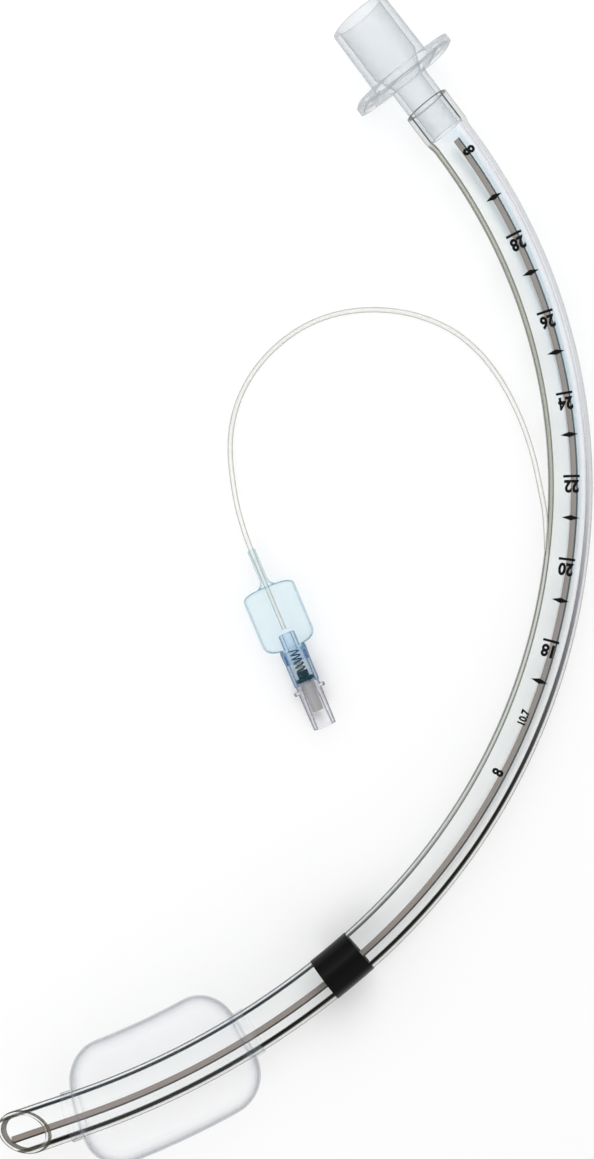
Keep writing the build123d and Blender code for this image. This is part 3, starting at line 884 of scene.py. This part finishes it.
for node, made in (
    ("depth_marks", black_ink),
    ("depth_band", band_ink),
    ("airway_connector", connector_milky),
    ("dip_tube", line_clear),
    ("valve_cap", cap_blue),
    ("valve_body", body_clear),
    ("valve_spring", spring_steel),
    ("valve_seal", black_rubber),
    ("valve_stem", grey_stem),
    ("syringe_socket", socket_clear),
):
    dress_node(node, made)


# Inflation line, from the tube's wall over the floor to the balloon's sleeve. The route's points
# between the two ends are listed.
LINE_ROUTE = (
    (74.21, -22.09, 5.2),
    (78.21, -14.39, 3.8),
    (81.41, -5.79, 2.2),
    (83.41, 3.41, 1.1),
    (83.71, 12.61, 0.68),
    (81.61, 21.61, 0.68),
    (76.71, 30.01, 0.68),
    (69.91, 36.81, 0.68),
    (62.21, 41.61, 0.68),
    (54.31, 44.11, 0.68),
    (46.21, 44.61, 0.68),
    (38.21, 43.41, 0.68),
    (30.51, 40.31, 0.68),
    (23.61, 35.01, 0.88),
    (18.21, 27.91, 1.58),
)


def inflation_line():
    """The thin clear tube that fills the cuff, on one smooth spline."""
    route = [on_tube(LINE_SEAT_STATION, LINE_SEAT_RADIUS, 0)]
    route.append(on_tube(LINE_LEAVE_STATION, LINE_LEAVE_RADIUS, 0))
    route += [Vector(point) * MM for point in LINE_ROUTE]
    route.append(pilot_neck - pilot_axis * LINE_APPROACH * MM)
    route.append(pilot_neck + pilot_axis * LINE_INSERTION * MM)
    line = bpy.data.curves.new("inflation_line_tube", "CURVE")
    line.dimensions = "3D"
    line.bevel_depth = LINE_RADIUS
    line.bevel_resolution = 6
    line.use_fill_caps = True
    line.resolution_u = 24
    spline = line.splines.new("NURBS")
    spline.points.add(len(route) - 1)
    for point, place in zip(spline.points, route):
        point.co = (*place, 1)
        point.radius = MM
    spline.order_u = 3
    spline.use_endpoint_u = True
    piece = bpy.data.objects.new("inflation_line_tube", line)
    bpy.context.scene.collection.objects.link(piece)
    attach(piece, ROOT)
    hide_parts("inflation_line")
    line.materials.append(line_clear)


inflation_line()


# Floor, lights and camera

def floor():
    """A pale floor under everything."""
    side = FLOOR_HALF * MM
    piece = add_mesh(
        "floor",
        [(-side, -side, 0), (side, -side, 0), (side, side, 0), (-side, side, 0)],
        [(0, 1, 2, 3)],
        body=None,
        smooth=False,
    )
    return use(piece, opaque("floor_pale", (0.9, 0.9, 0.9), 0.6))


def area_light(name, place, size, power, aim=(0, 0, 0)):
    """A soft square light that looks at a point; its place and size are in metres."""
    lamp = bpy.data.lights.new(name, "AREA")
    lamp.size = size
    lamp.energy = power
    holder = bpy.data.objects.new(name, lamp)
    holder.location = place
    holder.rotation_euler = (Vector(aim) - Vector(place)).to_track_quat("-Z", "Y").to_euler()
    bpy.context.scene.collection.objects.link(holder)
    return holder


def surroundings():
    """Studio air: brightest half-way up, darker straight above and lowest at the horizon."""
    world = bpy.data.worlds.new("studio")
    bpy.context.scene.world = world
    world.use_nodes = True
    nodes = world.node_tree.nodes
    links = world.node_tree.links
    place = nodes.new("ShaderNodeTexCoord")
    split = nodes.new("ShaderNodeSeparateXYZ")
    ramp = nodes.new("ShaderNodeValToRGB")
    for height, grey in ((0.25, 0.5), (0.55, 0.75), (0.8, 0.6)):
        ramp.color_ramp.elements.new(height).color = (grey, grey, grey, 1)
    ramp.color_ramp.elements[0].color = (0.2, 0.2, 0.21, 1)
    ramp.color_ramp.elements[-1].color = (0.35, 0.35, 0.36, 1)
    links.new(place.outputs["Generated"], split.inputs["Vector"])
    links.new(split.outputs["Z"], ramp.inputs["Fac"])
    links.new(ramp.outputs["Color"], nodes["Background"].inputs["Color"])
    nodes["Background"].inputs["Strength"].default_value = 1.0


def camera():
    """The photograph's view: straight down, with the connector towards the picture's top right."""
    lens = bpy.data.cameras.new("photo_camera")
    lens.sensor_fit = "VERTICAL"
    lens.sensor_height = SENSOR_HEIGHT
    lens.lens = FOCAL_PIXELS / PICTURE_PIXELS * SENSOR_HEIGHT
    lens.clip_start = 0.01
    holder = bpy.data.objects.new("photo_camera", lens)
    holder.location = Vector((CAMERA_X, CAMERA_Y, CAMERA_HEIGHT)) * MM
    holder.rotation_euler = (0, 0, radians(PICTURE_TURN))
    bpy.context.scene.collection.objects.link(holder)
    bpy.context.scene.camera = holder


bpy.context.scene.view_settings.view_transform = "Standard"
bpy.context.scene.cycles.transparent_max_bounces = CLEAR_LAYERS
floor()
surroundings()
area_light("key", place=(0.5, 0.5, 1.0), size=0.8, power=7.5)
area_light("fill", place=(-0.7, -0.2, 0.9), size=0.8, power=3.8)
camera()
